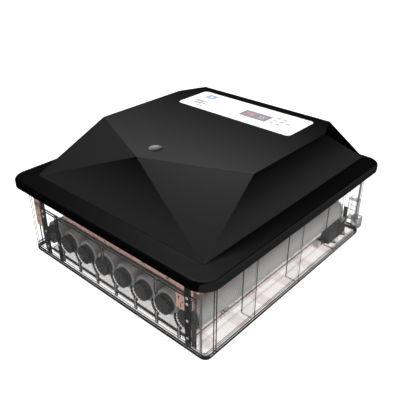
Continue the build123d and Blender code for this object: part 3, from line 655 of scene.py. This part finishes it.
# ---- soft edges on CAD mouldings ----------------------------------------------------------
def soften(node, width, segments=3):
    """Breaks a moulding's sharp edges with modifiers; its mesh stays as it is."""
    thing = NODES[node]
    weld = thing.modifiers.new("weld", "WELD")
    weld.merge_threshold = 0.00001
    bevel = thing.modifiers.new("soft_edges", "BEVEL")
    bevel.width = width
    bevel.segments = segments
    bevel.limit_method = "ANGLE"
    bevel.angle_limit = math.radians(12)
    bevel.harden_normals = True


# ---- mesh helpers -------------------------------------------------------------------------
def piece(name, mesh_maker, body, slot, material=None):
    """Builds a mesh piece with bmesh, gives it a finish and lets it ride on a body."""
    work = bmesh.new()
    mesh_maker(work)
    bmesh.ops.recalc_face_normals(work, faces=work.faces)
    mesh = bpy.data.meshes.new(name)
    work.to_mesh(mesh)
    work.free()
    thing = bpy.data.objects.new(name, mesh)
    bpy.context.scene.collection.objects.link(thing)
    mesh.materials.append(material or FINISHES[slot].material)
    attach(thing, body)
    return thing


def lathe(work, profile, centre, axis, steps=48):
    """Turns a closed profile of (radius, distance along the axis) into a ring-shaped solid."""
    along = {"X": Vector((1, 0, 0)), "Y": Vector((0, 1, 0)), "Z": Vector((0, 0, 1))}[axis]
    side = Vector((0, 0, 1)) if axis != "Z" else Vector((1, 0, 0))
    other = along.cross(side)
    rings = []
    for step in range(steps):
        angle = 2 * math.pi * step / steps
        out = side * math.cos(angle) + other * math.sin(angle)
        rings.append([work.verts.new(centre + out * r + along * d) for r, d in profile])
    for step in range(steps):
        here, there = rings[step], rings[(step + 1) % steps]
        for i in range(len(profile)):
            j = (i + 1) % len(profile)
            work.faces.new((here[i], there[i], there[j], here[j]))


def tile(work, corners, z0, z1):
    """An upright prism on a flat outline."""
    bottom = [work.verts.new((x, y, z0)) for x, y in corners]
    top = [work.verts.new((x, y, z1)) for x, y in corners]
    work.faces.new(top)
    work.faces.new(bottom[::-1])
    count = len(corners)
    for i in range(count):
        j = (i + 1) % count
        work.faces.new((bottom[i], bottom[j], top[j], top[i]))


def rounded_outline(x0, x1, y0, y1, radius, steps=5):
    """Corners of a rectangle with rounded corners."""
    points = []
    turns = ((x1 - radius, y1 - radius, 0), (x0 + radius, y1 - radius, 90),
             (x0 + radius, y0 + radius, 180), (x1 - radius, y0 + radius, 270))
    for cx, cy, start in turns:
        for step in range(steps + 1):
            angle = math.radians(start + 90 * step / steps)
            points.append((cx + radius * math.cos(angle), cy + radius * math.sin(angle)))
    return points


# ---- rollers ------------------------------------------------------------------------------
GROOVE_DEPTH = 0.0004
GROOVE_WIDTH = 0.0010
SLEEVE_WALL = 0.002
COLLAR_DEPTH = 0.004
COLLAR_BORE = 0.01705
SLEEVE_CHAMFER = 0.0008


def sleeve_profile(radius, start, end):
    """A roller tube with fine ring grooves outside, a plain bore and an inward collar at each end."""
    bore = radius - SLEEVE_WALL
    profile = [(COLLAR_BORE, start), (radius - SLEEVE_CHAMFER, start), (radius, start + SLEEVE_CHAMFER)]
    count = int((end - start) / GROOVE_PITCH)
    for i in range(1, count):
        middle = start + i * GROOVE_PITCH
        profile += [(radius, middle - GROOVE_WIDTH), (radius - GROOVE_DEPTH, middle - GROOVE_WIDTH / 2)]
        profile += [(radius - GROOVE_DEPTH, middle + GROOVE_WIDTH / 2), (radius, middle + GROOVE_WIDTH)]
    profile += [(radius, end - SLEEVE_CHAMFER), (radius - SLEEVE_CHAMFER, end), (COLLAR_BORE, end)]
    profile += [(COLLAR_BORE, end - COLLAR_DEPTH), (bore, end - COLLAR_DEPTH)]
    return profile + [(bore, start + COLLAR_DEPTH), (COLLAR_BORE, start + COLLAR_DEPTH)]


def make_sleeves():
    for number in range(1, 9):
        low, high = box(f"roller_tube_{number}")
        centre = Vector(((low.x + high.x) / 2, 0, (low.z + high.z) / 2))
        radius = (high.x - low.x) / 2
        profile = sleeve_profile(radius, low.y, high.y)
        sleeve = piece(f"roller_sleeve_{number}", lambda work: lathe(work, profile, centre, "Y", 56),
                       f"roller_{number}", "grey_plastic")
        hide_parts(f"roller_tube_{number}")


# ---- tub floor ----------------------------------------------------------------------------
def make_floor_shade_ring():
    """A thin dark ring on the tub's floor, just inside the walls: painted shade for the dark line seen there.
    """
    z = box("base_tub")[0].z + TUB_WALL

    def shade_ring(work):
        outer = rounded_outline(-0.2226, 0.2226, -0.2455, 0.2445, 0.006, 6)
        inner = rounded_outline(-0.2218, 0.2218, -0.2447, 0.2437, 0.0052, 6)
        rings = [[work.verts.new((px, py, pz)) for px, py in line] for line, pz in
                 ((outer, z), (outer, z + 0.0006), (inner, z + 0.0006), (inner, z))]
        count = len(outer)
        for i in range(count):
            j = (i + 1) % count
            for a in range(4):
                here, there = rings[a], rings[(a + 1) % 4]
                work.faces.new((here[i], here[j], there[j], there[i]))
    piece("floor_shade_ring", shade_ring, "base", "clear_plastic", flat_ink("bead_shade", shade(0.015)))


# ---- small fittings -----------------------------------------------------------------------
def upright(axis, sign):
    """Turns +Z towards an axis."""
    aim = Vector([sign if axis == letter else 0 for letter in "XYZ"])
    return aim.to_track_quat("Z", "Y").to_matrix().to_4x4()


def cross_mark(work, centre, turn, arm, half, rise):
    """A thin plus sign that stands a hair proud of a screw's head."""
    corners = [(arm, half), (half, half), (half, arm), (-half, arm), (-half, half), (-arm, half),
               (-arm, -half), (-half, -half), (-half, -arm), (half, -arm), (half, -half), (arm, -half)]
    place = Matrix.Translation(centre) @ turn
    low = [work.verts.new(place @ Vector((x, y, -rise))) for x, y in corners]
    high = [work.verts.new(place @ Vector((x, y, rise))) for x, y in corners]
    work.faces.new(high)
    work.faces.new(low[::-1])
    for i in range(len(corners)):
        j = (i + 1) % len(corners)
        work.faces.new((low[i], low[j], high[j], high[i]))


POST_SCREWS = [(x, z) for x in (-0.190, 0.190) for z in (0.022, 0.058, 0.092, 0.1035)]
POST_SCREWS += [(-0.150, 0.044), (-0.150, 0.1035)]
MOTOR_SCREWS = [(0.218, 0.168), (0.218, 0.208)]
LINER_SCREWS = [(0, 0.260), (0, -0.260), (0.2423, 0), (-0.2423, 0)]
RECESS_RISE = 0.00004


def make_screw_recesses():
    """Cross marks on the screws of the front posts, the gearmotor and the lid's liner, in near-black: painted
    shade of their cross recesses.
    """
    ink = flat_ink("recess_shade", shade(0.05))
    front = box("post_screws")[0].y
    top = box("motor_screws")[1].z
    under = box("liner_screws")[0].z
    sets = (("post", "base", [(x, front, z) for x, z in POST_SCREWS], upright("Y", -1), 0.0014, 0.0003),
            ("motor", "base", [(x, y, top) for x, y in MOTOR_SCREWS], upright("Z", 1), 0.0018, 0.0004),
            ("liner", "lid", [(x, y, under) for x, y in LINER_SCREWS], upright("Z", -1), 0.0018, 0.0004))
    for name, body, places, turn, arm, half in sets:
        def marks(work):
            for place in places:
                cross_mark(work, Vector(place), turn, arm, half, RECESS_RISE)
        piece(f"{name}_screw_recesses", marks, body, "steel", ink)


def smooth_path(points, steps=8):
    """A Catmull-Rom line through the points."""
    line = [Vector(point) for point in points]
    padded = [line[0] * 2 - line[1]] + line + [line[-1] * 2 - line[-2]]
    path = []
    for i in range(1, len(padded) - 2):
        a, b, c, d = padded[i - 1:i + 3]
        for step in range(steps):
            t = step / steps
            path.append(0.5 * (2 * b + (c - a) * t + (2 * a - 5 * b + 4 * c - d) * t * t
                               + (3 * b - a - 3 * c + d) * t ** 3))
    return path + [line[-1]]


def tube(work, points, radius, sides=12):
    """A round wire along a smooth path, closed at both ends."""
    path = smooth_path(points)
    rings = []
    for i, place in enumerate(path):
        ahead = path[min(i + 1, len(path) - 1)] - path[max(i - 1, 0)]
        turn = ahead.to_track_quat("Z", "Y")
        rings.append([work.verts.new(place + turn @ Vector((radius * math.cos(2 * math.pi * k / sides),
                                                            radius * math.sin(2 * math.pi * k / sides), 0)))
                      for k in range(sides)])
    for here, there in zip(rings, rings[1:]):
        for k in range(sides):
            m = (k + 1) % sides
            work.faces.new((here[k], here[m], there[m], there[k]))
    work.faces.new(rings[0][::-1])
    work.faces.new(rings[-1])


LEAD_PATH = ((0.2110, 0.2300, 0.0395), (0.2105, 0.2275, 0.0350), (0.2085, 0.2215, 0.0300),
             (0.2045, 0.2130, 0.0262), (0.2025, 0.2080, 0.0246))
LEAD_RADIUS = 0.0008
LEAD_PITCH = 0.0024


def make_motor_leads():
    """Two short leads from the corner riser down to the gearmotor."""
    for name, shift, colour in (("brown", 0.0, (0.06, 0.035, 0.025, 1)), ("black", LEAD_PITCH, shade(0.02))):
        points = [(x + shift, y, z) for x, y, z in LEAD_PATH]
        piece(f"motor_lead_{name}", lambda work: tube(work, points, LEAD_RADIUS), "base", "dark_plastic",
              flat_ink(f"lead_{name}", colour))


GEARBOX_TOP = 0.025
COVER_RIB_PITCH = 0.009
CAN_SLOT_PITCH = 0.003


def make_gearbox_cover():
    """A raised cover plate with ribs on the gearbox, and cooling slots on the motor can as thin near-black
    tiles: painted shade of the slots.
    """
    left = box("gearmotor_gearbox")[0].x
    top = GEARBOX_TOP

    def cover(work):
        tile(work, rounded_outline(left + 0.002, 0.2115, 0.156, 0.219, 0.002), top, top + 0.0005)
        for i in range(6):
            y = 0.163 + COVER_RIB_PITCH * i
            tile(work, rounded_outline(left + 0.004, 0.2095, y, y + 0.0016, 0.0005, 2),
                 top + 0.0004, top + 0.0009)
    piece("gearbox_cover", cover, "base", "dark_plastic")
    can_low, can_high = box("motor_can")

    def slots(work):
        for i in range(4):
            y = can_low.y + 0.0025 + CAN_SLOT_PITCH * i
            tile(work, rounded_outline(can_low.x + 0.003, can_high.x - 0.003, y, y + 0.0012, 0.0004, 2),
                 can_high.z - 0.0001, can_high.z + 0.0002)
    piece("motor_can_slots", slots, "base", "dark_plastic", flat_ink("slot_shade", shade(0.01)))


# ---- control panel prints -----------------------------------------------------------------
FILM_TOP = 0.2508
PRINT = 0.00006
DIGIT_SHAPES = {"3": "abcdg", "7": "abc", "8": "abcdefg", "5": "acdfg"}


def flat_ink(name, colour, glow=0.0):
    """Screen-printed ink: even colour with the faintest mottle."""
    made = Shader(name)
    thin = made.spread(made.noise(600), 0, 1)
    lighter = tuple(min(1, c * 1.15) for c in colour[:3]) + (1,)
    made.set(Base_Color=made.mix(thin, colour, lighter), Roughness=made.spread(made.noise(200), 0.4, 0.55))
    if glow:
        made.set(Emission_Color=colour, Emission_Strength=glow)
    made.bump(made.noise(1500, 1), 0.1, 0.00001)
    return made.material


def bar(work, x0, x1, y0, y1, z=FILM_TOP, height=PRINT):
    tile(work, [(x0, y0), (x1, y0), (x1, y1), (x0, y1)], z, z + height)


def make_icon(blue):
    """A rounded blue badge with an egg left white in it."""
    def badge(work):
        tile(work, rounded_outline(-0.1135, -0.0885, 0.137, 0.160, 0.003), FILM_TOP, FILM_TOP + PRINT)
    piece("panel_badge", badge, "lid", "white_film", blue)

    def egg(work):
        points = []
        for step in range(28):
            angle = 2 * math.pi * step / 28
            width = 0.0030 * (1 - 0.16 * math.sin(angle))
            points.append((-0.1015 + width * math.cos(angle), 0.149 + 0.0040 * math.sin(angle)))
        tile(work, points, FILM_TOP + PRINT, FILM_TOP + 2 * PRINT)
    piece("panel_badge_egg", egg, "lid", "white_film")


# Left X, lower Y and length of each printed line, in millimetres.
CAPTION_LINES = ((-116, 117, 30), (-116, 112, 24), (-112, 105, 34), (-112, 100, 20), (-98, 92, 16))
LABEL_LINES = ((-10, 155, 13), (22, 155, 15), (50, 156, 12), (-30, 90, 8), (72, 152, 10), (88, 152, 12))
CAPTION_HEIGHT = 3.0
LABEL_HEIGHT = 1.6


def make_captions(grey, pale):
    """Plain bars where a maker would print words."""
    for name, lines, height, ink in (("captions", CAPTION_LINES, CAPTION_HEIGHT, grey),
                                     ("labels", LABEL_LINES, LABEL_HEIGHT, pale)):
        def bars(work):
            for x, y, length in lines:
                bar(work, x / 1000, (x + length) / 1000, y / 1000, (y + height) / 1000)
        piece(f"panel_{name}", bars, "lid", "white_film", ink)


def segment_bars(x, y, width, height, thick):
    """The seven bars of one digit, by letter."""
    right, top, middle = x + width, y + height, y + height / 2
    half = thick / 2
    return {
        "a": (x + thick, right - thick, top - thick, top), "d": (x + thick, right - thick, y, y + thick),
        "g": (x + thick, right - thick, middle - half, middle + half),
        "b": (right - thick, right, middle + half, top), "c": (right - thick, right, y, middle - half),
        "f": (x, x + thick, middle + half, top), "e": (x, x + thick, y, middle - half),
    }


DIGIT_FOOT = 0.1165
DIGIT_WIDTH = 0.0056
DIGIT_HEIGHT = 0.0125
DIGIT_STROKE = 0.0012


def make_digits(red, dim):
    """A three-figure temperature and, fainter, a two-figure humidity on the lens."""
    lens_top = box("display_window")[1].z
    digits = [("3", 0.010, red), ("7", 0.0175, red), ("8", 0.025, red), ("5", 0.044, dim), ("5", 0.0515, dim)]
    for number, (figure, x, ink) in enumerate(digits, start=1):
        def figure_bars(work):
            bars = segment_bars(x, DIGIT_FOOT, DIGIT_WIDTH, DIGIT_HEIGHT, DIGIT_STROKE)
            for letter in DIGIT_SHAPES[figure]:
                bar(work, *bars[letter], lens_top, 0.00008)
        piece(f"display_digit_{number}", figure_bars, "lid", "display_lens", ink)


def make_panel_prints():
    make_icon(flat_ink("ink_blue", (0.28, 0.34, 0.66, 1)))
    make_captions(flat_ink("ink_grey", shade(0.13)), flat_ink("ink_pale", shade(0.48)))
    make_digits(flat_ink("lit_red", (0.62, 0.20, 0.26, 1), 0.3),
                flat_ink("lit_dim", (0.52, 0.46, 0.52, 1), 0.1))


KEY_GLYPHS = ("up", "minus", "down", "plus", "menu", "dot", "power")


def glyph_bars(work, kind, x, y, z):
    """A small printed sign for one key."""
    arm, half = 0.0019, 0.00035
    thick = 0.00005
    if kind in ("minus", "plus", "menu"):
        bar(work, x - arm, x + arm, y - half, y + half, z, thick)
    if kind == "plus":
        bar(work, x - half, x + half, y + half, y + arm, z, thick)
        bar(work, x - half, x + half, y - arm, y - half, z, thick)
    if kind == "menu":
        for shift in (-0.0013, 0.0013):
            bar(work, x - arm, x + arm, y + shift - half, y + shift + half, z, thick)
    if kind in ("up", "down"):
        tip = arm if kind == "up" else -arm
        corners = [(x - arm, y - tip / 2), (x + arm, y - tip / 2), (x, y + tip)]
        tile(work, corners if kind == "up" else corners[::-1], z, z + thick)
    if kind in ("dot", "power"):
        ring = [(x + 0.0013 * math.cos(turn * math.pi / 8), y + 0.0013 * math.sin(turn * math.pi / 8))
                for turn in range(16)]
        tile(work, ring, z, z + thick)


def make_key_glyphs():
    ink = flat_ink("ink_key", (0.22, 0.27, 0.36, 1))
    for number, kind in enumerate(KEY_GLYPHS, start=1):
        low, high = box(f"key_button_{number}")
        x, y = (low.x + high.x) / 2, (low.y + high.y) / 2
        piece(f"key_sign_{number}", lambda work: glyph_bars(work, kind, x, y, high.z - 0.00005),
              f"key_{number}", "key_plastic", ink)


# ---- stage --------------------------------------------------------------------------------
FLOOR_HALF = 6
FLOOR_GLOW = 0.93
SKY_STRENGTH = 0.75


def make_stage():
    """A pale floor, just below the feet, that glows to a near-white backdrop."""
    half = FLOOR_HALF
    work = bmesh.new()
    tile(work, [(-half, -half), (half, -half), (half, half), (-half, half)], -0.02, -0.0002)
    mesh = bpy.data.meshes.new("floor")
    work.to_mesh(mesh)
    work.free()
    floor = bpy.data.objects.new("floor", mesh)
    bpy.context.scene.collection.objects.link(floor)
    made = Shader("floor")
    made.set(Base_Color=made.mix(made.spread(made.noise(2), 0, 1), shade(0.30), shade(0.34)), Roughness=0.8)
    made.set(Specular_IOR_Level=0.1, Emission_Color=shade(1), Emission_Strength=FLOOR_GLOW)
    mesh.materials.append(made.material)
    floor.visible_glossy = False


def area_light(name, place, aim, size, power, glossy=True):
    data = bpy.data.lights.new(name, "AREA")
    data.shape = "RECTANGLE"
    data.size = size[0]
    data.size_y = size[1]
    data.energy = power
    light = bpy.data.objects.new(name, data)
    light.location = place
    light.rotation_mode = "QUATERNION"
    light.rotation_quaternion = (Vector(aim) - Vector(place)).to_track_quat("-Z", "Y")
    light.visible_glossy = glossy
    bpy.context.scene.collection.objects.link(light)


def make_lights():
    area_light("overhead", (0.0, 0.0, 2.4), (0, 0, 0), (4.0, 4.0), 45, False)
    area_light("sheen", (-1.1, 0.9, 2.7), (0, 0, 0.2), (1.4, 1.4), 34)
    area_light("side_fill", (2.4, 0.2, 0.5), (0.2, 0, 0.08), (1.6, 0.8), 16, False)
    area_light("top_glint", (0.0, -0.3, 2.3), (0, 0, 0.2), (2.4, 2.4), 9)
    world = bpy.data.worlds.new("studio")
    bpy.context.scene.world = world
    world.use_nodes = True
    world.node_tree.nodes["Background"].inputs["Color"].default_value = shade(1)
    world.node_tree.nodes["Background"].inputs["Strength"].default_value = SKY_STRENGTH
    world.cycles_visibility.glossy = False


# ---- build --------------------------------------------------------------------------------
bpy.context.scene.view_settings.view_transform = "Standard"
make_camera()
make_stage()
make_lights()
FINISHES = make_finishes()
finish_nodes(FINISHES)
soften("lid_shell", 0.0012)
make_sleeves()
make_floor_shade_ring()
make_screw_recesses()
make_motor_leads()
make_gearbox_cover()
make_panel_prints()
make_key_glyphs()
